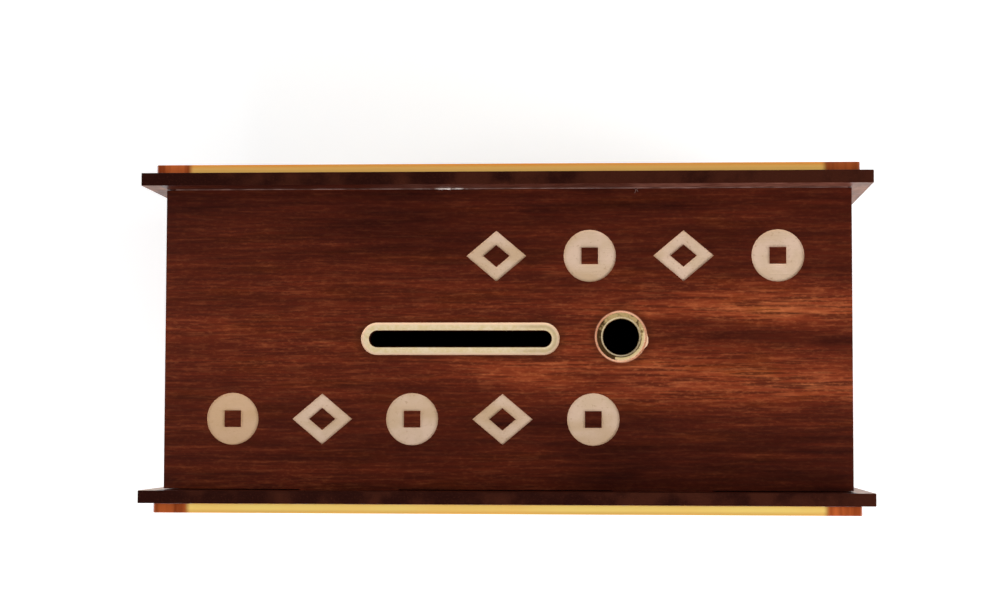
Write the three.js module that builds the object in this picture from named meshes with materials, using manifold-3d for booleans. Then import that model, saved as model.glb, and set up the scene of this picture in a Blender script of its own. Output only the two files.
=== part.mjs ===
// A wooden money box cut from thin board. Two long face panels overhang a body made of a top plate, a base
// plate and two end boards. The top plate lies below the panels' top edges and carries a coin slot and a
// round hole for rolled notes. Each face is covered by a printed film under a clear acrylic sheet. The box
// is emptied through a hatch that slides along two rails under the base.
//
// Millimetres. +X runs along the box, +Y to its back, +Z up. The origin is under the middle of the box, on
// the surface that it stands on.

import * as THREE from 'three';
import { mergeVertices } from 'three/addons/utils/BufferGeometryUtils.js';
import Module from 'manifold-3d';

// Overall sizes
const panelLength = 200;
const panelHeight = 150;
const bodyDepth = 83.6; // clear distance between the two face panels
const board = 3.5; // thickness of every cut board
const panelOverhang = 5; // how far the panels run past the end boards
const topRecess = 10; // from the panels' top edges down to the top plate
const baseRecess = 10; // from the panels' lower edges up to the base plate

// Fits
const seamGap = 0.25; // open seam between a plate's edge and the board that it meets
const laserGap = 0.15; // clearance round a tab in its mortise
const glueLine = 0.05; // glue between two faces
const tabShy = 0.2; // how far a tab ends short of the panel's outer face

// Tabs
const plateTabWidth = 27.4;
const plateTabSpacing = 86.4; // between the tabs' middles
const endTabHeight = 24;
const endTabSpacing = 66;

// Covers on the two faces
const filmThickness = 0.15;
const sheetThickness = 2.5;
const sheetEndInset = 3.2; // bare panel beyond the sheet's ends
const sheetEdgeInset = 5; // bare panel above and below the sheet

// Coin slot and note hole in the top plate
const slotLength = 50.6;
const slotWidth = 4.55;
const slotX = -12.6;
const slotRim = 2.2; // width of the engraved band round the slot
const noteHoleRadius = 5;
const noteHoleX = 31.8;
const noteHoleY = 0.6;
const noteHoleRim = 0.5; // width of the engraved band next to the hole
const noteHoleLine = 0.45; // width of the engraved line round the hole
const noteHoleLineRadius = 6.65; // inner radius of that line

// Engraved marks on the top plate
const engraveDepth = 0.35;
const markLength = 16.6;
const markWidth = 14;
const markStroke = 3;
const coinRadius = 7.2;
const coinHole = 4.6;
const frontRow = { marks: 5, pitch: 25, fromEnd: 19.2, fromPanel: 19.6 };
const backRow = { marks: 4, pitch: 25.8, fromEnd: 20.2, fromPanel: 18.9 };

// Sliding hatch under the base plate
const hatchLength = 56; // opening in the base plate, along X
const hatchLap = 6; // how far the door covers the plate round the opening
const doorThickness = 3;
const slideGap = 0.25; // running clearance round the door
const railWidth = 8;
const railInset = 5; // from the face panel to the rail
const lipLap = 3.7; // how far the lip reaches under the door
const stopWidth = 7;
const pullLength = 6;
const pullWidth = 30;
const pullThickness = 2.6;

// Countersunk wood screws that hold the rails
const screwRadius = 1.25;
const screwHeadRadius = 2.5;
const screwTip = 2;
const screwCover = 0.4; // board left over the screw's point
const screwSunk = 0.1; // how far the head lies below the lip's face
const screwFromEnd = 14;
const driveWidth = 0.6;
const driveSpan = 2.6;
const driveDepth = 0.7;

const arcSteps = 16;
const quarterTurn = Math.PI / 2;

// Places that several pieces share
const bodyLength = panelLength - 2 * panelOverhang;
const innerY = bodyDepth / 2;
const outerY = innerY + board;
const plateDepth = bodyDepth - 2 * seamGap;
const tabReach = seamGap + board - tabShy;
const baseZ = baseRecess;
const topZ = panelHeight - topRecess - board;
const endZ = baseZ + board + glueLine;
const endHeight = topZ - glueLine - endZ;
const endMiddleZ = endZ + endHeight / 2;
const endX = bodyLength / 2 - board / 2;
const plateTabs = [-plateTabSpacing / 2, plateTabSpacing / 2];
const endTabs = [-endTabSpacing / 2, endTabSpacing / 2];

const finish = {
  foil: { color: 0x6e2d1c, roughness: 0.42, metalness: 0 },
  bareBoard: { color: 0xa8866a, roughness: 0.8, metalness: 0 },
  acrylic: { color: 0xf4f0e4, roughness: 0.06, metalness: 0, transparent: true, opacity: 0.4 },
  print: { color: 0xe8b667, roughness: 0.5, metalness: 0 },
  steel: { color: 0xb9b4a6, roughness: 0.35, metalness: 1 },
};

const wasm = await Module();
wasm.setup();

// Turns a three.js geometry into a solid that can be joined and cut.
function toSolid(geometry) {
  const bare = geometry.clone();
  bare.deleteAttribute('normal');
  bare.deleteAttribute('uv');
  const merged = mergeVertices(bare, 1e-4);
  const corners = merged.index.array;
  const kept = [];
  for (let i = 0; i < corners.length; i += 3) {
    const [a, b, c] = corners.slice(i, i + 3);
    if (a !== b && b !== c && c !== a) kept.push(a, b, c);
  }
  const vertProperties = new Float32Array(merged.attributes.position.array);
  const triVerts = new Uint32Array(kept);
  return new wasm.Manifold(new wasm.Mesh({ numProp: 3, vertProperties, triVerts }));
}

// Turns a solid back into a three.js geometry.
function toGeometry(solid) {
  const mesh = solid.getMesh();
  const geometry = new THREE.BufferGeometry();
  geometry.setAttribute('position', new THREE.BufferAttribute(mesh.vertProperties, 3));
  geometry.setIndex(new THREE.BufferAttribute(mesh.triVerts, 1));
  geometry.computeVertexNormals();
  return geometry;
}

function cutAway(geometry, cutters) {
  const solid = cutters.reduce((rest, cutter) => rest.subtract(toSolid(cutter)), toSolid(geometry));
  return toGeometry(solid);
}

function extrude(shape, depth) {
  return new THREE.ExtrudeGeometry(shape, { depth, bevelEnabled: false, curveSegments: arcSteps });
}

// A rectangle as an outline, or as a hole in one.
function rectangle(Kind, middleX, middleY, width, height) {
  const path = new Kind();
  path.moveTo(middleX - width / 2, middleY - height / 2);
  path.lineTo(middleX + width / 2, middleY - height / 2);
  path.lineTo(middleX + width / 2, middleY + height / 2);
  path.lineTo(middleX - width / 2, middleY + height / 2);
  path.closePath();
  return path;
}

function circle(Kind, middleX, middleY, radius) {
  const path = new Kind();
  path.absarc(middleX, middleY, radius, 0, 2 * Math.PI, false);
  return path;
}

function lozenge(Kind, middleX, middleY, length, width) {
  const path = new Kind();
  path.moveTo(middleX - length / 2, middleY);
  path.lineTo(middleX, middleY - width / 2);
  path.lineTo(middleX + length / 2, middleY);
  path.lineTo(middleX, middleY + width / 2);
  path.closePath();
  return path;
}

// A long hole with round ends, lying along X.
function slotOutline(Kind, middleX, middleY, length, width) {
  const radius = width / 2;
  const reach = length / 2 - radius;
  const path = new Kind();
  path.absarc(middleX + reach, middleY, radius, -quarterTurn, quarterTurn, false);
  path.absarc(middleX - reach, middleY, radius, quarterTurn, 3 * quarterTurn, false);
  path.closePath();
  return path;
}

// A board of length by depth, with tabs that stand out of its two long edges. `tabs` gives the tabs' middles,
// which lie evenly about 0, so the back edge is the front edge turned half round.
function tabbedBoard(length, depth, tabs, tabWidth) {
  const front = [[-length / 2, -depth / 2]];
  for (const middle of tabs) {
    const left = middle - tabWidth / 2;
    const right = middle + tabWidth / 2;
    front.push([left, -depth / 2], [left, -depth / 2 - tabReach]);
    front.push([right, -depth / 2 - tabReach], [right, -depth / 2]);
  }
  front.push([length / 2, -depth / 2]);
  const back = front.map(([x, y]) => [-x, -y]);
  return new THREE.Shape([...front, ...back].map(([x, y]) => new THREE.Vector2(x, y)));
}

// A solid turned about +Z, from [radius, height] pairs that start and end on the axis.
function turned(profile, middleX = 0, middleY = 0) {
  const points = profile.map(([radius, height]) => new THREE.Vector2(radius, height));
  return new THREE.LatheGeometry(points, arcSteps).rotateX(quarterTurn).translate(middleX, middleY, 0);
}

const moneyBox = new THREE.Group();
moneyBox.name = 'money_box';

// Adds a named piece. Its geometry stands with its lowest face at z = 0 and is lifted to `height`.
function add(name, geometry, look, height = 0) {
  const mesh = new THREE.Mesh(geometry, new THREE.MeshStandardMaterial(finish[look]));
  mesh.name = name;
  mesh.position.z = height;
  moneyBox.add(mesh);
  return mesh;
}

// Top plate: a tabbed board with the slot and the hole right through, and shallow engraved bands and marks.
function engrave(outline) {
  return extrude(outline, 2 * engraveDepth).translate(0, 0, board - engraveDepth);
}

function coinMark(x, y) {
  const coin = circle(THREE.Shape, x, y, coinRadius);
  coin.holes.push(rectangle(THREE.Path, x, y, coinHole, coinHole));
  return coin;
}

// A lozenge frame whose band is markStroke wide, measured square to its sides.
function lozengeMark(x, y) {
  const frame = lozenge(THREE.Shape, x, y, markLength, markWidth);
  const sideDistance = (markLength * markWidth) / (2 * Math.hypot(markLength, markWidth));
  const inner = 1 - markStroke / sideDistance;
  frame.holes.push(lozenge(THREE.Path, x, y, markLength * inner, markWidth * inner));
  return frame;
}

// The marks of one row, from the row's own end of the plate inwards, coins and lozenges in turn.
function rowOfMarks(row, end, side) {
  return Array.from({ length: row.marks }, (_, i) => {
    const x = end * (bodyLength / 2 - row.fromEnd - i * row.pitch);
    const y = side * (innerY - row.fromPanel);
    return i % 2 ? lozengeMark(x, y) : coinMark(x, y);
  });
}

const topOutline = tabbedBoard(bodyLength, plateDepth, plateTabs, plateTabWidth);
topOutline.holes.push(slotOutline(THREE.Path, slotX, 0, slotLength, slotWidth));
topOutline.holes.push(circle(THREE.Path, noteHoleX, noteHoleY, noteHoleRadius));
const slotBand = slotOutline(THREE.Shape, slotX, 0, slotLength + 2 * slotRim, slotWidth + 2 * slotRim);
const holeBand = circle(THREE.Shape, noteHoleX, noteHoleY, noteHoleRadius + noteHoleRim);
const holeLine = circle(THREE.Shape, noteHoleX, noteHoleY, noteHoleLineRadius + noteHoleLine);
holeLine.holes.push(circle(THREE.Path, noteHoleX, noteHoleY, noteHoleLineRadius));
const engraved = [slotBand, holeBand, holeLine, ...rowOfMarks(frontRow, -1, -1), ...rowOfMarks(backRow, 1, 1)];
add('top_plate', cutAway(extrude(topOutline, board), engraved.map(engrave)), 'foil', topZ);

// Rails, door and stops under the base. The door runs between two spacers, held up by a lip on each side.
const doorWidth = bodyDepth - 2 * (railInset + railWidth + slideGap);
const doorLength = hatchLength + 2 * hatchLap;
const doorTravel = hatchLength + hatchLap;
const runLength = doorLength + doorTravel + 2 * slideGap;
const railLength = runLength + 2 * stopWidth;
const railY = innerY - railInset - railWidth / 2;
const hatchX = -runLength / 2 + slideGap + doorLength / 2;
const hatchWidth = doorWidth - 2 * hatchLap;
const spacerThickness = doorThickness + 2 * slideGap - 2 * glueLine;
const spacerZ = baseZ - glueLine - spacerThickness;
const lipWidth = railWidth + slideGap + lipLap;
const lipZ = spacerZ - glueLine - board;
const screwX = railLength / 2 - screwFromEnd;
const screwHoleRadius = screwRadius + laserGap;

// Base plate: the same board as the top plate, with the hatch opening and the screws' pilot holes.
const baseOutline = tabbedBoard(bodyLength, plateDepth, plateTabs, plateTabWidth);
baseOutline.holes.push(rectangle(THREE.Path, hatchX, 0, hatchLength, hatchWidth));
for (const x of [-screwX, screwX]) {
  for (const y of [-railY, railY]) baseOutline.holes.push(circle(THREE.Path, x, y, screwHoleRadius));
}
add('base_plate', extrude(baseOutline, board), 'foil', baseZ);

// End boards stand between the two plates, with their tabs in the panels' outer mortises.
function endBoard(name, outerX) {
  const outline = tabbedBoard(endHeight, plateDepth, endTabs, endTabHeight);
  const mesh = add(name, extrude(outline, board), 'foil', endMiddleZ);
  mesh.rotation.y = -quarterTurn;
  mesh.position.x = outerX;
}

endBoard('left_end', -bodyLength / 2 + board);
endBoard('right_end', bodyLength / 2);

// A block from its middle and its sizes along X, Y and Z.
function block(middle, size) {
  return new THREE.BoxGeometry(...size).translate(...middle);
}

// Face panels: a board on its lower edge, with a mortise for every tab. Each stands outside the body.
function facePanel(name, side) {
  const y = side * (innerY + board / 2);
  const mortises = [];
  for (const x of plateTabs) {
    for (const z of [baseZ + board / 2, topZ + board / 2]) {
      mortises.push(block([x, y, z], [plateTabWidth + 2 * laserGap, 2 * board, board + 2 * laserGap]));
    }
  }
  for (const x of [-endX, endX]) {
    for (const tab of endTabs) {
      const size = [board + 2 * laserGap, 2 * board, endTabHeight + 2 * laserGap];
      mortises.push(block([x, y, endMiddleZ + tab], size));
    }
  }
  const panel = block([0, y, panelHeight / 2], [panelLength, board, panelHeight]);
  add(name, cutAway(panel, mortises), 'foil');
}

facePanel('front_panel', -1);
facePanel('back_panel', 1);

// Covers: the printed film lies on the panel and the clear sheet lies on the film.
function coverSheet(name, innerFace, thickness, look, side) {
  const width = panelLength - 2 * sheetEndInset;
  const height = panelHeight - 2 * sheetEdgeInset;
  const mesh = add(name, new THREE.BoxGeometry(width, thickness, height), look, panelHeight / 2);
  mesh.position.y = side * (innerFace + thickness / 2);
}

const filmFace = outerY + glueLine;
const sheetFace = filmFace + filmThickness + glueLine;
for (const [word, side] of [['front', -1], ['back', 1]]) {
  coverSheet(`${word}_print`, filmFace, filmThickness, 'print', side);
  coverSheet(`${word}_acrylic`, sheetFace, sheetThickness, 'acrylic', side);
}

// One rail is a spacer strip and a lip, drilled for two screws.
const coneDepth = screwHeadRadius - screwRadius;
const headHoleRadius = screwHeadRadius + laserGap;
const countersink = [
  [0, -1],
  [headHoleRadius, -1],
  [headHoleRadius, screwSunk],
  [screwHoleRadius, screwSunk + coneDepth],
  [screwHoleRadius, board + 1],
  [0, board + 1],
];

function rail(word, side) {
  const spacer = rectangle(THREE.Shape, 0, side * railY, railLength, railWidth);
  for (const x of [-screwX, screwX]) {
    spacer.holes.push(circle(THREE.Path, x, side * railY, screwHoleRadius));
  }
  add(`rail_spacer_${word}`, extrude(spacer, spacerThickness), 'bareBoard', spacerZ);

  const lipY = side * (innerY - railInset - lipWidth / 2);
  const lip = extrude(rectangle(THREE.Shape, 0, lipY, railLength, lipWidth), board);
  const sinks = [-screwX, screwX].map((x) => turned(countersink, x, side * railY));
  add(`rail_lip_${word}`, cutAway(lip, sinks), 'bareBoard', lipZ);
}

rail('front', -1);
rail('back', 1);

// A stop strip closes the run at each end, between the two spacers.
for (const [word, side] of [['left', -1], ['right', 1]]) {
  const span = doorWidth + 2 * slideGap - 2 * glueLine;
  const stopX = side * (runLength / 2 + stopWidth / 2);
  const strip = rectangle(THREE.Shape, stopX, 0, stopWidth, span);
  add(`rail_stop_${word}`, extrude(strip, spacerThickness), 'bareBoard', spacerZ);
}

// Screws: a countersunk head with a cross recess, facing down, a plain shank and a point.
const screwZ = lipZ + screwSunk;
const screwLength = baseZ + board - screwCover - screwZ;
const screwProfile = [
  [0, 0],
  [screwHeadRadius, 0],
  [screwRadius, coneDepth],
  [screwRadius, screwLength - screwTip],
  [0, screwLength],
];

for (const [wordX, sideX] of [['left', -1], ['right', 1]]) {
  for (const [wordY, sideY] of [['front', -1], ['back', 1]]) {
    const x = sideX * screwX;
    const y = sideY * railY;
    const recess = [
      block([x, y, 0], [driveSpan, driveWidth, 2 * driveDepth]),
      block([x, y, 0], [driveWidth, driveSpan, 2 * driveDepth]),
    ];
    add(`rail_screw_${wordY}_${wordX}`, cutAway(turned(screwProfile, x, y), recess), 'steel', screwZ);
  }
}

// Hatch door with a pull bar glued across its lower face. It is shut here, and opens towards +X.
const doorZ = baseZ - slideGap - doorThickness;
const door = rectangle(THREE.Shape, hatchX, 0, doorLength, doorWidth);
add('hatch_door', extrude(door, doorThickness), 'foil', doorZ);
const pull = rectangle(THREE.Shape, hatchX, 0, pullLength, pullWidth);
add('hatch_pull', extrude(pull, pullThickness), 'bareBoard', doorZ - glueLine - pullThickness);

export default moneyBox;
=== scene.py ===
import math

import bmesh
import bpy
import numpy as np
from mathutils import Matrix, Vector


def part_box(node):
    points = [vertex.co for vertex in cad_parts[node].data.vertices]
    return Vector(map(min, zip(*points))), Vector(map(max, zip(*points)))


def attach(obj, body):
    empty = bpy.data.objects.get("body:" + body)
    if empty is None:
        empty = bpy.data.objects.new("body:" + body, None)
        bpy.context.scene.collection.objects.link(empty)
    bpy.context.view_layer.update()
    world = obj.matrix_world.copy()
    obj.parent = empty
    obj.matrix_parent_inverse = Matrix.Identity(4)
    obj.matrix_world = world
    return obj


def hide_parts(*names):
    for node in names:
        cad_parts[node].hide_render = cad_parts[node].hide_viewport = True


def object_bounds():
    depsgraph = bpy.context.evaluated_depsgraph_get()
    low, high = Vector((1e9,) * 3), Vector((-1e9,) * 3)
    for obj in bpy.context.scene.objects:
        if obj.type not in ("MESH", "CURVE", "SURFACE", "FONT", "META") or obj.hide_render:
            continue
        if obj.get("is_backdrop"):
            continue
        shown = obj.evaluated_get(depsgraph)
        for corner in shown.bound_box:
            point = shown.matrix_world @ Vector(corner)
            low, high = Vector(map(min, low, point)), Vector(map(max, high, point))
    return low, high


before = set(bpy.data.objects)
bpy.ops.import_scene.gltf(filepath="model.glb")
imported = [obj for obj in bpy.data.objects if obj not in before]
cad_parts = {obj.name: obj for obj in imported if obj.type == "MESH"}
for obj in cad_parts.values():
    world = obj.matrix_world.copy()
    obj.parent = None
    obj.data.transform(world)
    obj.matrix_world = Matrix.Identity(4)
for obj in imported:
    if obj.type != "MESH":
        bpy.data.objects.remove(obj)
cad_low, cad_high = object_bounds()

MM = 0.001

# ---------------------------------------------------------------------------------------------------------
# Cut boards. Every wooden piece is cut by laser from thin fibreboard with a printed mahogany foil on both
# sides, and the laser chars its edges brown. Each board keeps the outline of its solid in the frame, and its
# sharp corners are eased by a fraction of a millimetre.

EASE = 0.12 * MM
MERGE_WITHIN = 0.002 * MM
FLAT_WITHIN = math.radians(1)
SHARP_BEYOND = math.radians(40)


def eased_copy(node, name, ease=EASE):
    """A copy of a frame node as one clean surface: equal points are merged, triangles in one plane are
    joined, and the sharp corners are eased."""
    surface = bmesh.new()
    surface.from_mesh(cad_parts[node].data)
    bmesh.ops.remove_doubles(surface, verts=surface.verts, dist=MERGE_WITHIN)
    bmesh.ops.dissolve_limit(surface, angle_limit=FLAT_WITHIN, verts=surface.verts, edges=surface.edges)
    mesh = bpy.data.meshes.new(name)
    surface.to_mesh(mesh)
    surface.free()
    mesh.polygons.foreach_set("use_smooth", [True] * len(mesh.polygons))
    piece = bpy.data.objects.new(name, mesh)
    bpy.context.scene.collection.objects.link(piece)
    bevel = piece.modifiers.new("eased corners", "BEVEL")
    bevel.width = ease
    bevel.segments = 2
    bevel.limit_method = "ANGLE"
    bevel.angle_limit = SHARP_BEYOND
    shading = piece.modifiers.new("flat faces", "WEIGHTED_NORMAL")
    shading.weight = 100
    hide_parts(node)
    return piece


def place(piece, body, slot, *materials):
    """Gives a finished piece its materials and its body. The slot argument is not used."""
    piece.data.materials.clear()
    for material in materials:
        piece.data.materials.append(material)
    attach(piece, body)
    return piece


def colour(red, green, blue):
    """A colour from its 0 to 255 screen values, as the linear values that a shader takes."""
    screen = np.array([red, green, blue]) / 255
    linear = np.where(screen <= 0.04045, screen / 12.92, ((screen + 0.055) / 1.055) ** 2.4)
    return (*linear.tolist(), 1.0)


def add_node(tree, kind, sockets=None, **settings):
    """A shader node with its settings made and its sockets set to values or linked to other sockets."""
    made = tree.nodes.new(kind)
    for key, value in settings.items():
        setattr(made, key, value)
    for key, value in (sockets or {}).items():
        if isinstance(value, bpy.types.NodeSocket):
            tree.links.new(value, made.inputs[key])
        else:
            made.inputs[key].default_value = value
    return made


def calc(tree, operation, *values, clamp=False):
    """One Math node. Each value is a number or a socket."""
    sockets = dict(enumerate(values))
    return add_node(tree, "ShaderNodeMath", sockets, operation=operation, use_clamp=clamp).outputs[0]


def rise(tree, value, low, high):
    """0 below low, 1 above high, and a smooth step between them."""
    sockets = {"Value": value, "From Min": low, "From Max": high}
    step = add_node(tree, "ShaderNodeMapRange", sockets, interpolation_type="SMOOTHSTEP")
    return step.outputs["Result"]


def mix(tree, factor, first, second, how="MIX"):
    """A colour between two colours, or one laid over the other by the named method."""
    made = add_node(tree, "ShaderNodeMix", data_type="RGBA", blend_type=how)
    for key, value in ((0, factor), (6, first), (7, second)):
        if isinstance(value, bpy.types.NodeSocket):
            tree.links.new(value, made.inputs[key])
        else:
            made.inputs[key].default_value = value
    return made.outputs[2]


def split(tree, vector):
    """The X, Y and Z parts of a vector."""
    return add_node(tree, "ShaderNodeSeparateXYZ", {0: vector}).outputs


def noise(tree, vector, size, detail=2.0, roughness=0.5):
    """Noise whose spots measure size (along X, Y and Z, in millimetres) on a vector in millimetres."""
    scaled = add_node(
        tree,
        "ShaderNodeVectorMath",
        {0: vector, 1: tuple(1 / length for length in size)},
        operation="MULTIPLY",
    )
    sockets = {"Vector": scaled.outputs[0], "Scale": 1.0, "Detail": detail, "Roughness": roughness}
    return add_node(tree, "ShaderNodeTexNoise", sockets).outputs["Fac"]


def start_group(name, inputs, outputs):
    """A new shader node group with named inputs and outputs. Returns the group and its two end nodes."""
    group = bpy.data.node_groups.new(name, "ShaderNodeTree")
    for label, kind, value in inputs:
        socket = group.interface.new_socket(name=label, in_out="INPUT", socket_type=kind)
        if value is not None:
            socket.default_value = value
    for label, kind in outputs:
        group.interface.new_socket(name=label, in_out="OUTPUT", socket_type=kind)
    start = group.nodes.new("NodeGroupInput")
    end = group.nodes.new("NodeGroupOutput")
    return group, start, end


def use_group(tree, group, **sockets):
    """Places a node group in a material. A socket's name is given with _ for each space."""
    made = add_node(tree, "ShaderNodeGroup", node_tree=group)
    for key, value in sockets.items():
        socket = made.inputs[key.replace("_", " ")]
        if isinstance(value, bpy.types.NodeSocket):
            tree.links.new(value, socket)
        else:
            socket.default_value = value
    return made.outputs


def finish_group(group, end, **outputs):
    """Links a group's results to its named outputs."""
    for key, value in outputs.items():
        group.links.new(value, end.inputs[key])


# The foil's print runs along X: broad patches, veins, curls, fine dark lines, pale threads and flecks, on a
# tone from 0, near black, to 1, orange-brown, that the material sets. Lines and flecks are stronger where it
# is high.
FOIL_TONES = [
    (0.0, (46, 12, 6)),
    (0.2, (74, 25, 13)),
    (0.45, (102, 38, 20)),
    (0.7, (138, 58, 31)),
    (1.0, (176, 92, 53)),
]
PLUM_TINT = colour(226, 224, 255)
OLIVE_TINT = colour(238, 255, 196)
LINE_BROWN = colour(48, 14, 7)
FLECK_ORANGE = colour(206, 114, 68)


def make_foil_group():
    group, start, end = start_group(
        "mahogany_foil",
        [("Place", "NodeSocketVector", None), ("Tone", "NodeSocketFloat", 0.5)],
        [("Color", "NodeSocketColor"), ("Roughness", "NodeSocketFloat"), ("Height", "NodeSocketFloat")],
    )
    place_mm = start.outputs["Place"]
    patches = noise(group, place_mm, (42, 7, 7), 3.0)
    veins = noise(group, place_mm, (48, 1.7, 1.7), 3.0, 0.6)
    lines = noise(group, place_mm, (14, 0.58, 0.58), 1.5, 0.5)
    threads = noise(group, place_mm, (9, 0.8, 0.8), 1.0)
    flecks = noise(group, place_mm, (1.6, 0.6, 0.6), 2.0, 0.6)
    curls = noise(group, place_mm, (5, 1.8, 1.8), 2.0)
    hue = noise(group, place_mm, (26, 5, 5), 2.0)
    base_tone = start.outputs["Tone"]
    tone = calc(group, "MULTIPLY_ADD", calc(group, "SUBTRACT", patches, 0.5), 0.55, base_tone)
    tone = calc(group, "MULTIPLY_ADD", calc(group, "SUBTRACT", veins, 0.5), 0.50, tone)
    glow = calc(group, "MULTIPLY", base_tone, calc(group, "SUBTRACT", curls, 0.5))
    tone = calc(group, "MULTIPLY_ADD", glow, 0.55, tone)
    light = calc(group, "MULTIPLY", tone, 1.0, clamp=True)
    ramp = add_node(group, "ShaderNodeValToRGB", {0: light})
    while len(ramp.color_ramp.elements) < len(FOIL_TONES):
        ramp.color_ramp.elements.new(0.5)
    for stop, (position, shade) in zip(ramp.color_ramp.elements, FOIL_TONES):
        stop.position = position
        stop.color = colour(*shade)
    wood = ramp.outputs[0]
    plum = calc(group, "MULTIPLY", rise(group, hue, 0.52, 0.68), 0.4)
    wood = mix(group, plum, wood, mix(group, 1.0, wood, PLUM_TINT, "MULTIPLY"))
    olive = calc(group, "MULTIPLY", rise(group, hue, 0.48, 0.32), 0.45)
    wood = mix(group, olive, wood, mix(group, 1.0, wood, OLIVE_TINT, "MULTIPLY"))
    depth = calc(group, "MULTIPLY_ADD", light, 0.62, 0.14)
    dash = rise(group, lines, 0.46, 0.62)
    wood = mix(group, calc(group, "MULTIPLY", dash, depth), wood, LINE_BROWN)
    shine = calc(group, "MULTIPLY", rise(group, threads, 0.5, 0.75), 0.55)
    shine = calc(group, "MULTIPLY_ADD", rise(group, flecks, 0.46, 0.75), 0.55, shine)
    faint = calc(group, "MULTIPLY_ADD", calc(group, "MULTIPLY", light, light), 1.0, 0.045)
    shine = calc(group, "MULTIPLY", shine, faint, clamp=True)
    wood = mix(group, shine, wood, FLECK_ORANGE)
    sheen = calc(group, "MULTIPLY_ADD", dash, 0.12, 0.36)
    finish_group(group, end, Color=wood, Roughness=sheen, Height=calc(group, "MULTIPLY", dash, -1.0))
    return group


# A laser-cut edge: charred brown, darker towards the left, with soot patches and fine paler ridges.
SOOTY_CHAR = colour(38, 11, 6)
PLAIN_CHAR = colour(62, 27, 16)
RIDGE_BROWN = colour(84, 42, 30)
LEFTWARD_DARKENING = 0.0014


def make_edge_group():
    group, start, end = start_group(
        "laser_edge",
        [("Place", "NodeSocketVector", None)],
        [("Color", "NodeSocketColor"), ("Height", "NodeSocketFloat")],
    )
    place_mm = start.outputs["Place"]
    soot = noise(group, place_mm, (9, 9, 9), 3.0, 0.55)
    # A steady slope along X makes the edge darker towards the left.
    soot = calc(group, "MULTIPLY_ADD", split(group, place_mm)[0], LEFTWARD_DARKENING, soot)
    fibre = noise(group, place_mm, (0.5, 0.5, 0.5), 3.0, 0.7)
    char = mix(group, rise(group, soot, 0.35, 0.65), SOOTY_CHAR, PLAIN_CHAR)
    char = mix(group, calc(group, "MULTIPLY", rise(group, fibre, 0.5, 0.8), 0.5), char, RIDGE_BROWN)
    finish_group(group, end, Color=char, Height=fibre)
    return group


# Bare fibreboard: matt, fine specks of darker and paler fibre on a slowly changing tone.
def make_bare_group():
    group, start, end = start_group(
        "bare_fibreboard",
        [
            ("Place", "NodeSocketVector", None),
            ("Base", "NodeSocketColor", colour(176, 138, 118)),
            ("Speck", "NodeSocketColor", colour(120, 84, 66)),
        ],
        [("Color", "NodeSocketColor"), ("Height", "NodeSocketFloat")],
    )
    place_mm = start.outputs["Place"]
    cloud = noise(group, place_mm, (7, 7, 7), 3.0, 0.6)
    grit = noise(group, place_mm, (0.45, 0.45, 0.45), 3.0, 0.75)
    specks = noise(group, place_mm, (0.9, 0.9, 0.9), 2.0, 0.6)
    base = start.outputs["Base"]
    tinted = mix(group, rise(group, cloud, 0.35, 0.65), base, colour(196, 168, 128))
    tinted = mix(group, 0.35, base, tinted)
    speckled = calc(group, "MULTIPLY", rise(group, specks, 0.6, 0.75), 0.5)
    tinted = mix(group, speckled, tinted, start.outputs["Speck"])
    finish_group(group, end, Color=tinted, Height=grit)
    return group


foil_group = make_foil_group()
edge_group = make_edge_group()
bare_group = make_bare_group()


def start_material(name):
    """A new material. Returns it with its node tree and its shader."""
    material = bpy.data.materials.new(name)
    material.use_nodes = True
    tree = material.node_tree
    return material, tree, tree.nodes["Principled BSDF"]


def place_in_mm(tree, turn=(0, 0, 0), shift=(0, 0, 0)):
    """The point on the piece, in millimetres, turned so that the grain's X runs the wanted way."""
    point = add_node(tree, "ShaderNodeTexCoord").outputs["Object"]
    sockets = {"Vector": point, "Scale": (1000, 1000, 1000), "Rotation": turn, "Location": shift}
    return add_node(tree, "ShaderNodeMapping", sockets).outputs["Vector"]


def facing(tree, axis, side):
    """1 where the surface faces along one axis, on the side given by its sign."""
    normal = add_node(tree, "ShaderNodeNewGeometry").outputs["True Normal"]
    along = calc(tree, "MULTIPLY", split(tree, normal)[axis], side)
    return rise(tree, along, 0.9, 0.97)


MATT = 0.8
SATIN = 0.35


def add_satin(tree, shader, foil_mask):
    """The foil's clear satin coat. What isn't foil stays matt."""
    tree.links.new(calc(tree, "MULTIPLY", foil_mask, SATIN), shader.inputs["Coat Weight"])
    shader.inputs["Coat Roughness"].default_value = 0.3
    shader.inputs["Specular IOR Level"].default_value = 0.04


def add_bump(tree, height, distance):
    """The normal that a height gives, with the distance that height 1 stands for."""
    sockets = {"Height": height, "Distance": distance, "Strength": 1.0}
    return add_node(tree, "ShaderNodeBump", sockets).outputs["Normal"]


def board_material(name, axis, turn=(0, 0, 0), shift=(0, 0, 0), tone=0.3):
    """Foil on the board's two flat sides, which face both ways along axis, and charred edges all round."""
    material, tree, shader = start_material(name)
    place_mm = place_in_mm(tree, turn, shift)
    foil = use_group(tree, foil_group, Place=place_mm, Tone=tone)
    edge = use_group(tree, edge_group, Place=place_mm)
    flat = calc(tree, "MAXIMUM", facing(tree, axis, 1.0), facing(tree, axis, -1.0))
    tree.links.new(mix(tree, flat, edge["Color"], foil["Color"]), shader.inputs["Base Color"])
    rough = calc(tree, "MULTIPLY_ADD", flat, calc(tree, "SUBTRACT", foil["Roughness"], MATT), MATT)
    tree.links.new(rough, shader.inputs["Roughness"])
    add_satin(tree, shader, flat)
    relief = calc(tree, "MULTIPLY", edge["Height"], calc(tree, "SUBTRACT", 1.0, flat))
    tree.links.new(add_bump(tree, relief, 0.05 * MM), shader.inputs["Normal"])
    return material


# ---------------------------------------------------------------------------------------------------------
# Top plate. The foil side faces up. The laser cuts the coin slot and the round note hole right through,
# and engraves the bands round them and the two rows of marks down to the pale core of the board.

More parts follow.
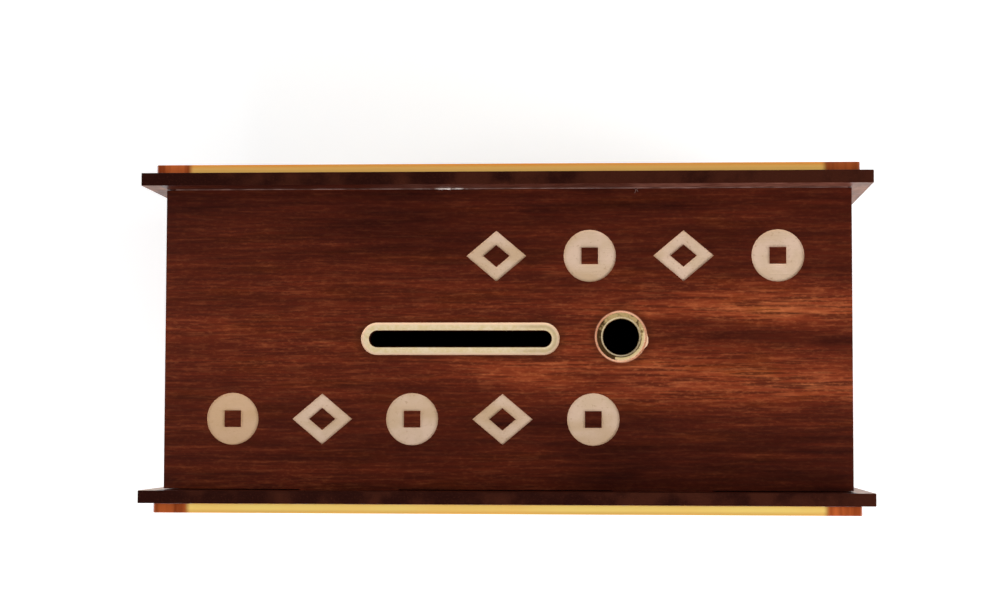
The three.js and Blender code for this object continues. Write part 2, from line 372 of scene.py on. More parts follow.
# Sizes in millimetres, on the frame's axes.
ENGRAVED = 0.35
SLOT_X, SLOT_LENGTH, SLOT_WIDTH, SLOT_RIM = -12.6, 50.6, 4.55, 2.2
HOLE_X, HOLE_Y, HOLE_RADIUS, LINE_RADIUS = 31.8, 0.6, 5.0, 6.65
PLATE_HALF_LENGTH, PLATE_HALF_DEPTH = 94.0, 41.0
CHIP_START = 5.6
PLATE_EASE = 0.07 * MM

SOOT_BROWN = colour(62, 26, 10)
BURNT_DARK = colour(66, 44, 20)
BURNT_PALE = colour(186, 158, 108)
BURNT_SPOT = colour(74, 50, 24)
PAINTED_HALO_PINK = colour(226, 160, 126)
CHIP_INSIDE = colour(214, 192, 138)
CHIP_OUTSIDE = colour(244, 198, 164)
CHIP_SPOT = colour(120, 88, 46)
CORE_PALE = colour(222, 192, 168)
CORE_SPECK = colour(176, 138, 108)
CORE_STAIN = colour(196, 162, 122)
CORE_YELLOWED = colour(206, 164, 120)
BAND_DARK = colour(222, 198, 150)
BAND_PALE = colour(232, 210, 176)
BAND_RIM = colour(246, 214, 182)
BAND_SMOKE = colour(172, 146, 108)
RING_DARK = colour(188, 166, 126)
RING_PALE = colour(232, 216, 184)
LINE_DARK = colour(242, 190, 156)
LINE_PALE = colour(255, 222, 194)

plate_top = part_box("top_plate")[1].z / MM


def swell(tree, value, middle, width):
    """1 at the middle, falling to 0 on both sides like a bell of the given width."""
    away = calc(tree, "DIVIDE", calc(tree, "SUBTRACT", value, middle), width)
    return calc(tree, "POWER", math.e, calc(tree, "MULTIPLY", -1.0, calc(tree, "MULTIPLY", away, away)))


def plate_tone_and_painted_light(tree, x, y):
    """The foil's figure on the plate, with painted light in it: dark along the front and back, partly the
    panels' painted shade, a glow along the middle, partly a painted sheen, that splits into two bright bands
    round a dark vein towards the right, and a darker corner at the front right."""
    # Painted light: the dark front and back are partly painted shade, and the bright middle is partly a
    # painted sheen.
    tone = calc(tree, "MULTIPLY_ADD", swell(tree, y, 0.0, 20.0), 0.27, 0.145)
    back_band = calc(tree, "MULTIPLY", swell(tree, y, 9.0, 5.5), rise(tree, x, 0.0, 75.0))
    tone = calc(tree, "MULTIPLY_ADD", back_band, 0.46, tone)
    from_band = calc(tree, "SUBTRACT", y, calc(tree, "MULTIPLY_ADD", x, -0.05, -9.0))
    front_band = calc(tree, "MULTIPLY", swell(tree, from_band, 0.0, 6.2), rise(tree, x, -45.0, 30.0))
    tone = calc(tree, "MULTIPLY_ADD", front_band, 0.42, tone)
    dark_patch = calc(tree, "MULTIPLY", swell(tree, x, 25.0, 9.0), swell(tree, y, -11.0, 3.5))
    tone = calc(tree, "MULTIPLY_ADD", dark_patch, -0.28, tone)
    from_vein = calc(tree, "SUBTRACT", y, calc(tree, "MULTIPLY_ADD", x, -0.087, 7.8))
    vein = calc(tree, "MULTIPLY", swell(tree, from_vein, 0.0, 3.0), rise(tree, x, 33.0, 46.0))
    tone = calc(tree, "MULTIPLY_ADD", vein, -0.25, tone)
    front_right = calc(tree, "MULTIPLY", rise(tree, y, -24.0, -36.0), rise(tree, x, 5.0, 35.0))
    tone = calc(tree, "MULTIPLY_ADD", front_right, -0.02, tone)
    front_left = calc(tree, "MULTIPLY", rise(tree, y, -22.0, -34.0), rise(tree, x, 25.0, 0.0))
    tone = calc(tree, "MULTIPLY_ADD", front_left, 0.14, tone)
    back_middle = calc(tree, "MULTIPLY", swell(tree, y, 31.0, 5.0), rise(tree, x, -20.0, 20.0))
    tone = calc(tree, "MULTIPLY_ADD", back_middle, 0.06, tone)
    return calc(tree, "MULTIPLY_ADD", rise(tree, y, -32.0, -38.0), 0.05, tone)


def top_plate_material():
    material, tree, shader = start_material("top plate")
    place_mm = place_in_mm(tree)
    x, y, z = split(tree, place_mm)
    foil = use_group(tree, foil_group, Place=place_mm, Tone=plate_tone_and_painted_light(tree, x, y))

    # Distance outside the slot's edge, and distance from the middle of the round hole.
    slot_reach = (SLOT_LENGTH - SLOT_WIDTH) / 2
    beyond = calc(tree, "SUBTRACT", calc(tree, "ABSOLUTE", calc(tree, "SUBTRACT", x, SLOT_X)), slot_reach)
    beyond = calc(tree, "MAXIMUM", beyond, 0.0)
    from_slot = calc(tree, "SQRT", calc(tree, "MULTIPLY_ADD", beyond, beyond, calc(tree, "POWER", y, 2.0)))
    from_slot = calc(tree, "SUBTRACT", from_slot, SLOT_WIDTH / 2)
    hole_dx = calc(tree, "SUBTRACT", x, HOLE_X)
    hole_dy = calc(tree, "SUBTRACT", y, HOLE_Y)
    across = calc(tree, "MULTIPLY_ADD", hole_dx, hole_dx, calc(tree, "POWER", hole_dy, 2.0))
    from_hole = calc(tree, "SQRT", across)

    # Soot round the slot and the hole, and the scorched ring of foil between the hole's two engraved bands.
    uneven = noise(tree, place_mm, (1.2, 1.2, 1.2), 3.0, 0.65)
    soot = calc(tree, "MAXIMUM", rise(tree, from_slot, 5.0, 2.2), rise(tree, from_hole, 10.0, 7.1))
    shade = mix(tree, calc(tree, "MULTIPLY", soot, 0.5), foil["Color"], SOOT_BROWN)
    scorch = calc(tree, "SUBTRACT", 1.0, rise(tree, from_hole, LINE_RADIUS + 0.1, LINE_RADIUS + 0.3))
    sooty = calc(tree, "MULTIPLY_ADD", hole_dy, 0.045, calc(tree, "MULTIPLY_ADD", hole_dx, 0.03, uneven))
    burnt = mix(tree, rise(tree, sooty, 0.42, 0.72), BURNT_DARK, BURNT_PALE)
    spots = noise(tree, place_mm, (0.8, 0.8, 0.8), 1.0)
    spotted = calc(tree, "MULTIPLY", rise(tree, spots, 0.5, 0.62), rise(tree, hole_dx, 0.5, 3.5))
    burnt = mix(tree, calc(tree, "MULTIPLY", spotted, 0.8), burnt, BURNT_SPOT)
    shade = mix(tree, scorch, shade, burnt)
    # Painted highlight: a pale pink halo on the foil just outside the hole's outer line, which widens and
    # brightens the line where its groove is shaded.
    painted_halo = swell(tree, from_hole, LINE_RADIUS + 0.40, 0.14)
    shade = mix(tree, calc(tree, "MULTIPLY", painted_halo, 0.85), shade, PAINTED_HALO_PINK)

    # The foil is chipped away at the front right of the hole, and past the outer line at one place.
    toward_chip = calc(tree, "MULTIPLY", calc(tree, "SUBTRACT", hole_dx, hole_dy), math.sqrt(0.5))
    beside_bulge = calc(tree, "MULTIPLY_ADD", hole_dx, 0.21, calc(tree, "MULTIPLY", hole_dy, 0.98))
    to_the_right = calc(tree, "GREATER_THAN", hole_dx, 0.0)
    bulge = calc(tree, "MULTIPLY", swell(tree, beside_bulge, 0.0, 1.9), to_the_right)
    jagged = calc(tree, "SUBTRACT", uneven, 0.5)
    chip_reach = calc(tree, "MULTIPLY_ADD", bulge, 0.65, LINE_RADIUS + 0.35)
    chip_reach = calc(tree, "MULTIPLY_ADD", jagged, 0.7, chip_reach)
    within = calc(tree, "LESS_THAN", from_hole, chip_reach)
    chip = calc(tree, "MULTIPLY", rise(tree, from_hole, CHIP_START, CHIP_START + 0.3), within)
    ragged = calc(tree, "MULTIPLY_ADD", jagged, 6.0, toward_chip)
    chip = calc(tree, "MULTIPLY", chip, rise(tree, ragged, 3.0, 3.9))
    chipped = mix(tree, rise(tree, from_hole, 5.8, 7.0), CHIP_INSIDE, CHIP_OUTSIDE)
    chipped = mix(tree, rise(tree, uneven, 0.42, 0.34), chipped, CHIP_SPOT)
    shade = mix(tree, chip, shade, chipped)

    # The engraved floors and their low walls show the pale core. They lie below the foil and inside the
    # plate's outline, and don't reach the walls of the slot and the hole.
    sunk = calc(tree, "LESS_THAN", z, plate_top - 0.1 * ENGRAVED)
    sunk = calc(tree, "MULTIPLY", sunk, calc(tree, "GREATER_THAN", z, plate_top - 1.1 * ENGRAVED))
    sunk = calc(tree, "MULTIPLY", sunk, calc(tree, "GREATER_THAN", from_slot, 0.1))
    sunk = calc(tree, "MULTIPLY", sunk, calc(tree, "GREATER_THAN", from_hole, HOLE_RADIUS + 0.1))
    sunk = calc(tree, "MULTIPLY", sunk, calc(tree, "LESS_THAN", calc(tree, "ABSOLUTE", x), PLATE_HALF_LENGTH))
    amid = calc(tree, "LESS_THAN", calc(tree, "ABSOLUTE", y), PLATE_HALF_DEPTH)
    floor = calc(tree, "MULTIPLY", sunk, amid)
    up = facing(tree, 2, 1.0)
    down = facing(tree, 2, -1.0)
    core = use_group(tree, bare_group, Place=place_mm, Base=CORE_PALE, Speck=CORE_SPECK)
    stain = noise(tree, place_mm, (22, 9, 9), 2.0)
    stained = calc(tree, "MULTIPLY", rise(tree, stain, 0.5, 0.7), 0.5)
    pale = mix(tree, stained, core["Color"], CORE_STAIN)
    near_slot = calc(tree, "LESS_THAN", from_slot, SLOT_RIM + 0.3)
    band = mix(tree, rise(tree, uneven, 0.3, 0.7), BAND_DARK, BAND_PALE)
    rim = rise(tree, from_slot, SLOT_RIM - 0.85, SLOT_RIM - 0.35)
    band = mix(tree, rim, band, BAND_RIM)
    smoked = calc(tree, "MULTIPLY", swell(tree, from_slot, 1.1, 0.5), rise(tree, x, 0.0, 8.0))
    band = mix(tree, calc(tree, "MULTIPLY", smoked, 0.55), band, BAND_SMOKE)
    pale = mix(tree, near_slot, pale, band)
    near_hole = calc(tree, "LESS_THAN", from_hole, HOLE_RADIUS + 0.9)
    pale = mix(tree, near_hole, pale, mix(tree, uneven, RING_DARK, RING_PALE))
    around = calc(tree, "SUBTRACT", calc(tree, "LESS_THAN", from_hole, LINE_RADIUS + 1.0), near_hole)
    pale = mix(tree, around, pale, mix(tree, uneven, LINE_DARK, LINE_PALE))
    pale = mix(tree, calc(tree, "MULTIPLY", rise(tree, x, -65.0, -71.0), 0.6), pale, CORE_YELLOWED)

    edge = use_group(tree, edge_group, Place=place_mm)
    look = mix(tree, down, edge["Color"], foil["Color"])
    look = mix(tree, up, look, shade)
    look = mix(tree, floor, look, pale)
    tree.links.new(look, shader.inputs["Base Color"])
    rough = calc(tree, "MULTIPLY_ADD", up, calc(tree, "SUBTRACT", foil["Roughness"], MATT), MATT)
    rough = calc(tree, "MAXIMUM", rough, calc(tree, "MULTIPLY", floor, 0.85))
    tree.links.new(rough, shader.inputs["Roughness"])
    add_satin(tree, shader, calc(tree, "SUBTRACT", up, floor))
    relief = calc(tree, "MULTIPLY_ADD", core["Height"], floor, calc(tree, "MULTIPLY", foil["Height"], 0.4))
    tree.links.new(add_bump(tree, relief, 0.04 * MM), shader.inputs["Normal"])
    return material


place(eased_copy("top_plate", "top_plate_board", PLATE_EASE), "box", "top_board", top_plate_material())

# ---------------------------------------------------------------------------------------------------------
# Base plate and end boards. The same board closes the box below and at both ends, and its tabs are glued
# into the mortises of the two face panels.

QUARTER = math.pi / 2

base_look = board_material("base board", 2, shift=(40, 90, 0), tone=0.42)
place(eased_copy("base_plate", "base_plate_board"), "box", "body_board", base_look)

for word, side in (("left", -1.0), ("right", 1.0)):
    look = board_material(f"{word} end board", 0, turn=(0, QUARTER, 0), shift=(side * 70, 30, 0), tone=0.5)
    place(eased_copy(f"{word}_end", f"{word}_end_board"), "box", "body_board", look)

# ---------------------------------------------------------------------------------------------------------
# Face panels. Two long boards stand on their lower edges and hold the box together. They run past the body
# at every edge, so the satin foil of their inner sides shows beyond the end boards and above the top plate.

BODY_END = 95.0

# The painted light on the panels' ends: its dark and pale brown, paler on the front panel, how much paler the
# left end is, and how the satin coat changes there.
LIGHT_PAST_ENDS = {
    "front": (colour(166, 122, 98), colour(204, 164, 138), 0.6, -0.4),
    "back": (colour(108, 66, 46), colour(150, 104, 80), 0.0, -0.6),
}
LIGHT_PAST_LEFT_END = colour(244, 222, 200)
GLUE_AND_LIGHT_DARK = colour(84, 42, 32)
GLUE_AND_LIGHT_PALE = colour(150, 98, 82)


def lay_over(material, mask, shade, gloss_change):
    """Lays a colour over a board's finished look where the mask is 1, and changes the satin coat there."""
    tree = material.node_tree
    shader = tree.nodes["Principled BSDF"]
    look = shader.inputs["Base Color"].links[0].from_socket
    satin = shader.inputs["Coat Weight"].links[0].from_socket
    tree.links.new(mix(tree, mask, look, shade), shader.inputs["Base Color"])
    left = calc(tree, "MULTIPLY_ADD", mask, gloss_change, 1.0)
    tree.links.new(calc(tree, "MULTIPLY", satin, left), shader.inputs["Coat Weight"])


def paint_light_past_ends(material, word, inner_side):
    """Paints light over the foil of a panel's inner side where it runs past the end boards: a pale brown,
    paler on the front panel than the back and palest at the front panel's left, where the left lamp is
    weaker, and a matt finish there.
    """
    tree = material.node_tree
    place_mm = place_in_mm(tree)
    x = split(tree, place_mm)[0]
    past_end = rise(tree, calc(tree, "ABSOLUTE", x), BODY_END - 0.3, BODY_END + 0.3)
    lit_past_end = calc(tree, "MULTIPLY", facing(tree, 1, inner_side), past_end)
    streaks = noise(tree, place_mm, (3, 3, 14), 3.0, 0.6)
    dark, pale, left_paler, gloss_change = LIGHT_PAST_ENDS[word]
    # Painted light: a pale brown over the foil, lighter on the front panel than on the back, and palest at
    # the front panel's left.
    brown = mix(tree, rise(tree, streaks, 0.35, 0.65), dark, pale)
    at_left = calc(tree, "MULTIPLY", calc(tree, "LESS_THAN", x, 0.0), left_paler)
    brown = mix(tree, at_left, brown, LIGHT_PAST_LEFT_END)
    lay_over(material, lit_past_end, brown, gloss_change)


def smear_glue_and_light(material):
    """Lays a paler smear over the back panel's inner side, in the strip above the top plate: partly dried
    glue, and partly painted light, as the right of the strip is lit more. It is thin over the middle, and
    full from the glue strings to the right end."""
    tree = material.node_tree
    place_mm = place_in_mm(tree)
    x, _, z = split(tree, place_mm)
    strip = calc(tree, "MULTIPLY", facing(tree, 1, -1.0), rise(tree, z, plate_top - 0.6, plate_top - 0.1))
    thin = calc(tree, "MULTIPLY", rise(tree, x, -40.0, -25.0), 0.35)
    thick = calc(tree, "MAXIMUM", rise(tree, x, 31.0, 37.0), thin)
    up_to_end = rise(tree, x, BODY_END + 0.2, BODY_END - 0.4)
    glue_and_light_mask = calc(tree, "MULTIPLY", strip, calc(tree, "MULTIPLY", thick, up_to_end))
    smears = noise(tree, place_mm, (4.5, 2, 1.0), 3.0, 0.65)
    # Partly dried glue and partly painted light: the strip turns paler towards the right.
    glue = mix(tree, rise(tree, smears, 0.36, 0.7), GLUE_AND_LIGHT_DARK, GLUE_AND_LIGHT_PALE)
    lay_over(material, glue_and_light_mask, glue, -0.8)


for word, side in (("front", -1.0), ("back", 1.0)):
    look = board_material(f"{word} panel board", 1, shift=(side * 33, 0, 50), tone=0.08)
    paint_light_past_ends(look, word, -side)
    if word == "back":
        smear_glue_and_light(look)
    place(eased_copy(f"{word}_panel", f"{word}_panel_board"), "box", "face_board", look)


# ---------------------------------------------------------------------------------------------------------
# Glue bead. White glue squeezed out along the seam between the top plate and the back panel, dried to a thin
# clear-brown line with a few milky lumps, and two strings that it pulled.

BEAD_SIDES = 8


def closed_surface(name, points, faces):
    """A new object from points and faces, with every face turned outward."""
    mesh = bpy.data.meshes.new(name)
    mesh.from_pydata(points.tolist(), [], faces)
    outward = bmesh.new()
    outward.from_mesh(mesh)
    bmesh.ops.recalc_face_normals(outward, faces=outward.faces)
    outward.to_mesh(mesh)
    outward.free()
    piece = bpy.data.objects.new(name, mesh)
    bpy.context.scene.collection.objects.link(piece)
    return piece


def glue_tube(name, path, radius):
    """A tube along a path. At each of the path's points a ring of BEAD_SIDES points stands across the path's
    direction, as far from it as radius says there. Flat ends close it."""
    along = np.gradient(path, axis=0)
    along /= np.linalg.norm(along, axis=1)[:, None]
    side = np.cross(along, [0.0, 0.31, 0.95])
    side /= np.linalg.norm(side, axis=1)[:, None]
    over = np.cross(side, along)
    angle = np.linspace(0, 2 * math.pi, BEAD_SIDES, endpoint=False)[None, :, None]
    ring = np.cos(angle) * side[:, None, :] + np.sin(angle) * over[:, None, :]
    points = path[:, None, :] + ring * radius[:, None, None]
    index = np.arange(points.shape[0] * BEAD_SIDES).reshape(-1, BEAD_SIDES)
    after = np.roll(index, -1, axis=1)
    wall = np.stack([index[:-1], after[:-1], after[1:], index[1:]], axis=-1).reshape(-1, 4)
    faces = wall.tolist() + [index[0][::-1].tolist(), index[-1].tolist()]
    piece = closed_surface(name, points.reshape(-1, 3) * MM, faces)
    piece.data.polygons.foreach_set("use_smooth", [True] * len(piece.data.polygons))
    return piece


def glue_material():
    material, tree, shader = start_material("dried glue")
    place_mm = place_in_mm(tree)
    lumpy = rise(tree, noise(tree, place_mm, (1.6, 1.6, 1.6)), 0.35, 0.6)
    milky = calc(tree, "MULTIPLY", swell(tree, split(tree, place_mm)[0], -15.5, 5.5), lumpy)
    cloudy = rise(tree, noise(tree, place_mm, (5, 5, 5)), 0.35, 0.65)
    thin = mix(tree, cloudy, colour(78, 44, 36), colour(132, 98, 90))
    tree.links.new(mix(tree, milky, thin, colour(226, 214, 206)), shader.inputs["Base Color"])
    tree.links.new(calc(tree, "MULTIPLY_ADD", milky, 0.2, 0.3), shader.inputs["Roughness"])
    shader.inputs["Specular IOR Level"].default_value = 0.4
    return material


seam_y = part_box("back_panel")[0].y / MM - 0.08
run = np.linspace(-92.5, 94.0, 900)
dice = np.random.default_rng(7)
wander = np.convolve(dice.normal(size=run.size + 24), np.hanning(25) / 12, "valid")
lumps = np.clip(np.convolve(dice.normal(size=run.size + 6), np.hanning(7) / 3, "valid"), 0, 2)
milky_lumps = np.exp(-(((run + 16) / 5.0) ** 2))
fullness = 0.17 + 0.05 * wander + milky_lumps * (0.05 + 0.12 * lumps)
bead_path = np.stack([run, np.full_like(run, seam_y), plate_top + 0.25 * fullness], axis=1)
glue = glue_material()
place(glue_tube("glue_bead", bead_path, np.clip(fullness, 0.03, 0.4)), "box", "top_board", glue)

for count, (start_x, drop, curl) in enumerate(((35.4, 1.5, 0.5), (36.6, 1.1, -0.4))):
    step = np.linspace(0, 1, 14)
    string = np.stack([
        start_x + curl * np.sin(step * 3.0),
        seam_y - drop * step,
        plate_top + 0.05 + 0.35 * np.sin(step * math.pi),
    ], axis=1)
    place(glue_tube(f"glue_string_{count + 1}", string, 0.1 - 0.06 * step), "box", "top_board", glue)

# ---------------------------------------------------------------------------------------------------------
# Clear sheets. Each face is covered by a sheet of cast acrylic, laser cut so that its edges are polished.
# The print behind it lights its edges: golden along the sheet and red-brown over the last centimetre. This
# light is painted on the edge faces, as colour and a faint painted glow.

# BAND is the length of the red-brown end, in millimetres.
BAND = 10.0
CORNER_STEPS = 6
CORNER_RADIUS = 0.6 * MM
SHEET_EASE = 0.15 * MM
SHEET_THICKNESS = 2.5

# The lit edge's painted light: its deep and bright gold, and how strongly it glows, a painted glow that is
# stronger on the more shaded back sheet.
LIT_EDGES = {
    "front": (colour(232, 182, 94), colour(255, 222, 124), 0.03),
    "back": (colour(246, 158, 66), colour(255, 200, 108), 0.16),
}
WARM_GOLD = colour(255, 190, 100)
RED_DARK = colour(146, 62, 26)
RED_PALE = colour(206, 104, 50)
RED_SHADED = colour(96, 40, 16)


def round_slab(name, low, high, corner, ease):
    """A flat sheet in the XZ plane as one closed surface. Its outline is a rectangle with arcs of radius
    corner, carried through a profile across the thickness: in from each face by ease on a quarter arc, and
    straight between. The outline at each profile step shrinks by how far the arc has turned in. Two flat caps
    close it."""
    turn = np.linspace(0, QUARTER, CORNER_STEPS)
    starts = np.arange(4) * QUARTER
    angles = (starts[:, None] + turn[None, :]).ravel()
    corners = np.array([[1, 1], [-1, 1], [-1, -1], [1, -1]]).repeat(CORNER_STEPS, axis=0)
    middle = (np.array([low.x, low.z]) + np.array([high.x, high.z])) / 2
    half = (np.array([high.x, high.z]) - np.array([low.x, low.z])) / 2
    arc = np.linspace(0, QUARTER, 4)
    depth = np.concatenate([low.y + ease * (1 - np.cos(arc)), high.y - ease * (1 - np.cos(arc[::-1]))])
    inset = np.concatenate([ease * (1 - np.sin(arc)), ease * (1 - np.sin(arc[::-1]))])
    radius = corner - inset[:, None]
    across = middle[0] + corners[None, :, 0] * (half[0] - corner) + radius * np.cos(angles)[None, :]
    upward = middle[1] + corners[None, :, 1] * (half[1] - corner) + radius * np.sin(angles)[None, :]
    points = np.stack([across, np.broadcast_to(depth[:, None], across.shape), upward], axis=-1)
    rows, columns = across.shape
    index = np.arange(rows * columns).reshape(rows, columns)
    after = np.roll(index, -1, axis=1)
    rim = np.stack([index[:-1], index[1:], after[1:], after[:-1]], axis=-1).reshape(-1, 4)
    faces = rim.tolist() + [index[0].tolist(), index[-1][::-1].tolist()]
    return closed_surface(name, points.reshape(-1, 3), faces)


def clear_material():
    material, tree, shader = start_material("clear acrylic")
    haze = noise(tree, place_in_mm(tree), (30, 30, 30), 2.0)
    tree.links.new(calc(tree, "MULTIPLY_ADD", haze, 0.03, 0.01), shader.inputs["Roughness"])
    shader.inputs["Base Color"].default_value = (1.0, 1.0, 1.0, 1.0)
    shader.inputs["Transmission Weight"].default_value = 1.0
    shader.inputs["IOR"].default_value = 1.49
    shader.inputs["Specular IOR Level"].default_value = 0.25
    return material


def lit_edge_material(word, side):
    """The sheet's edge: the print's colours carried into it, painted on as colour and a faint painted glow,
    deeper towards the outer face. The red-brown is darker at the end where less light falls."""
    material, tree, shader = start_material(f"{word} sheet edge")
    low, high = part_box(f"{word}_acrylic")
    outer_face = max(abs(low.y), abs(high.y)) / MM
    band_start = high.x / MM - BAND
    place_mm = place_in_mm(tree)
    x, y, _ = split(tree, place_mm)
    inward = calc(tree, "SUBTRACT", outer_face, calc(tree, "ABSOLUTE", y))
    from_face = calc(tree, "DIVIDE", inward, SHEET_THICKNESS)
    ripple = noise(tree, place_mm, (30, 40, 14), 2.0)
    deep, bright, glow = LIT_EDGES[word]
    gold = mix(tree, rise(tree, from_face, 0.05, 0.55), deep, bright)
    warmer = calc(tree, "MULTIPLY", rise(tree, ripple, 0.35, 0.7), 0.4)
    gold = mix(tree, warmer, gold, WARM_GOLD)
    end = rise(tree, calc(tree, "ABSOLUTE", x), band_start - 0.6, band_start + 1.4)
    lines = noise(tree, place_mm, (2.4, 30, 30), 2.0, 0.6)
    red = mix(tree, rise(tree, lines, 0.3, 0.7), RED_DARK, RED_PALE)
    shaded_end = calc(tree, "GREATER_THAN", calc(tree, "MULTIPLY", x, side), 0.0)
    red = mix(tree, calc(tree, "MULTIPLY", shaded_end, 0.3), red, RED_SHADED)
    shade = mix(tree, end, gold, red)
    tree.links.new(shade, shader.inputs["Base Color"])
    # Painted glow: the edge emits its own colour, though it is no lamp.
    tree.links.new(shade, shader.inputs["Emission Color"])
    shader.inputs["Emission Strength"].default_value = glow
    tree.links.new(calc(tree, "MULTIPLY_ADD", lines, 0.1, 0.12), shader.inputs["Roughness"])
    shader.inputs["Coat Weight"].default_value = 0.3
    return material


clear = clear_material()
for word, side in (("front", -1.0), ("back", 1.0)):
    low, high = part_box(f"{word}_acrylic")
    sheet = round_slab(f"{word}_clear_sheet", low, high, CORNER_RADIUS, SHEET_EASE)
    faces_out = np.zeros(len(sheet.data.polygons) * 3)
    sheet.data.polygons.foreach_get("normal", faces_out)
    rim_faces = np.abs(faces_out.reshape(-1, 3)[:, 1]) < 0.99
    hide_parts(f"{word}_acrylic")
    place(sheet, "box", "clear_sheet", clear, lit_edge_material(word, side))
    sheet.data.polygons.foreach_set("material_index", rim_faces.astype(np.int32))

# ---------------------------------------------------------------------------------------------------------
# Printed films. A vinyl film is stuck between each panel and its sheet. It is printed with a golden field
# that carries a faint lozenge lattice and a coin, between red-brown bands at its two ends.

# Sizes in millimetres. REEDS and BEADS are counts.
LATTICE = 12.0
COIN_RADIUS = 34.0
COIN_HOLE = 9.0
REEDS = 90
BEADS = 36
BEAD_RING = 27.5
FILM_EASE = 0.02 * MM

FIELD_DARK = colour(222, 158, 70)
FIELD_PALE = colour(246, 200, 106)
LATTICE_BROWN = colour(190, 120, 48)
COIN_GOLD = colour(224, 164, 74)
COIN_BROWN = colour(146, 80, 34)
SEAM_CREAM = colour(250, 226, 168)
BAND_RED_DARK = colour(122, 46, 24)
BAND_RED_PALE = colour(150, 66, 36)


def print_material(word):
    material, tree, shader = start_material(f"{word} printed film")
    low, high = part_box(f"{word}_print")
    place_mm = place_in_mm(tree)
    x, _, z = split(tree, place_mm)
    up = calc(tree, "SUBTRACT", z, (low.z + high.z) / 2 / MM)
    wide = calc(tree, "ABSOLUTE", x)
    cloud = noise(tree, place_mm, (40, 40, 40), 3.0)
    gold = mix(tree, rise(tree, cloud, 0.3, 0.7), FIELD_DARK, FIELD_PALE)
    lean = calc(tree, "MULTIPLY", up, 1.3)
    for sign in (1.0, -1.0):
        slanted = calc(tree, "MULTIPLY_ADD", lean, sign, x)
        wave = calc(tree, "PINGPONG", slanted, LATTICE)
        line = calc(tree, "SUBTRACT", 1.0, rise(tree, wave, 0.35, 0.75))
        gold = mix(tree, calc(tree, "MULTIPLY", line, 0.35), gold, LATTICE_BROWN)
    from_coin = calc(tree, "SQRT", calc(tree, "MULTIPLY_ADD", x, x, calc(tree, "POWER", up, 2.0)))
    square = calc(tree, "MAXIMUM", wide, calc(tree, "ABSOLUTE", up))
    inside = calc(tree, "SUBTRACT", 1.0, rise(tree, from_coin, COIN_RADIUS - 0.2, COIN_RADIUS + 0.2))
    inside = calc(tree, "MULTIPLY", inside, rise(tree, square, COIN_HOLE - 0.2, COIN_HOLE + 0.2))
    turns = calc(tree, "DIVIDE", calc(tree, "ARCTAN2", up, x), 2 * math.pi)
    reeds = rise(tree, calc(tree, "PINGPONG", calc(tree, "MULTIPLY", turns, REEDS), 0.5), 0.2, 0.3)
    reeded = calc(tree, "MULTIPLY", reeds, calc(tree, "GREATER_THAN", from_coin, COIN_RADIUS - 2.0))
    beads = calc(tree, "SUBTRACT", calc(tree, "FRACT", calc(tree, "MULTIPLY", turns, BEADS)), 0.5)
    beads = calc(tree, "MULTIPLY", beads, 2 * math.pi * BEAD_RING / BEADS)
    from_ring = calc(tree, "SUBTRACT", from_coin, BEAD_RING)
    from_bead = calc(tree, "MULTIPLY_ADD", beads, beads, calc(tree, "POWER", from_ring, 2.0))
    from_bead = calc(tree, "SQRT", from_bead)
    dark = calc(tree, "MAXIMUM", reeded, calc(tree, "SUBTRACT", 1.0, rise(tree, from_bead, 0.9, 1.2)))
    dark = calc(tree, "MAXIMUM", dark, calc(tree, "LESS_THAN", square, COIN_HOLE + 1.6))
    coin = mix(tree, dark, COIN_GOLD, COIN_BROWN)
    gold = mix(tree, inside, gold, coin)
    band_start = high.x / MM - BAND
    seam = calc(tree, "GREATER_THAN", wide, band_start - 0.8)
    red = mix(tree, rise(tree, cloud, 0.35, 0.65), BAND_RED_DARK, BAND_RED_PALE)
    shade = mix(tree, seam, gold, SEAM_CREAM)
    shade = mix(tree, calc(tree, "GREATER_THAN", wide, band_start), shade, red)
    tree.links.new(shade, shader.inputs["Base Color"])
    tree.links.new(calc(tree, "MULTIPLY_ADD", cloud, 0.1, 0.4), shader.inputs["Roughness"])
    shader.inputs["Specular IOR Level"].default_value = 0.1
    return material


for word in ("front", "back"):
    low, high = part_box(f"{word}_print")
    film = round_slab(f"{word}_printed_film", low, high, CORNER_RADIUS, FILM_EASE)
    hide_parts(f"{word}_print")
    place(film, "box", "printed_film", print_material(word))


# ---------------------------------------------------------------------------------------------------------
# Hatch rails. Offcuts of bare board make the groove that the hatch runs in: a spacer and a wider lip on
# each side, and a stop across each end. They are glued on and held by four screws.

def bare_material(name, shift):
    """Bare board on its two flat sides and charred edges all round."""
    material, tree, shader = start_material(name)
    place_mm = place_in_mm(tree, shift=shift)
    bare = use_group(tree, bare_group, Place=place_mm, Base=colour(172, 132, 100))
    edge = use_group(tree, edge_group, Place=place_mm)
    flat = calc(tree, "MAXIMUM", facing(tree, 2, 1.0), facing(tree, 2, -1.0))
    tree.links.new(mix(tree, flat, edge["Color"], bare["Color"]), shader.inputs["Base Color"])
    tree.links.new(calc(tree, "MULTIPLY_ADD", bare["Height"], 0.15, 0.7), shader.inputs["Roughness"])
    tree.links.new(add_bump(tree, bare["Height"], 0.05 * MM), shader.inputs["Normal"])
    shader.inputs["Specular IOR Level"].default_value = 0.1
    return material


strips = ["rail_spacer_front", "rail_spacer_back", "rail_lip_front", "rail_lip_back"]
strips += ["rail_stop_left", "rail_stop_right"]
for count, node in enumerate(strips):
    look = bare_material(node.replace("_", " "), (17.0 * count, 5.0 * count, 0))
    place(eased_copy(node, f"{node}_strip"), "box", "bare_board", look)


# ---------------------------------------------------------------------------------------------------------
# Rail screws. Zinc-plated countersunk wood screws with a cross recess, sunk flush in the lips.

SCREW_EASE = 0.05 * MM


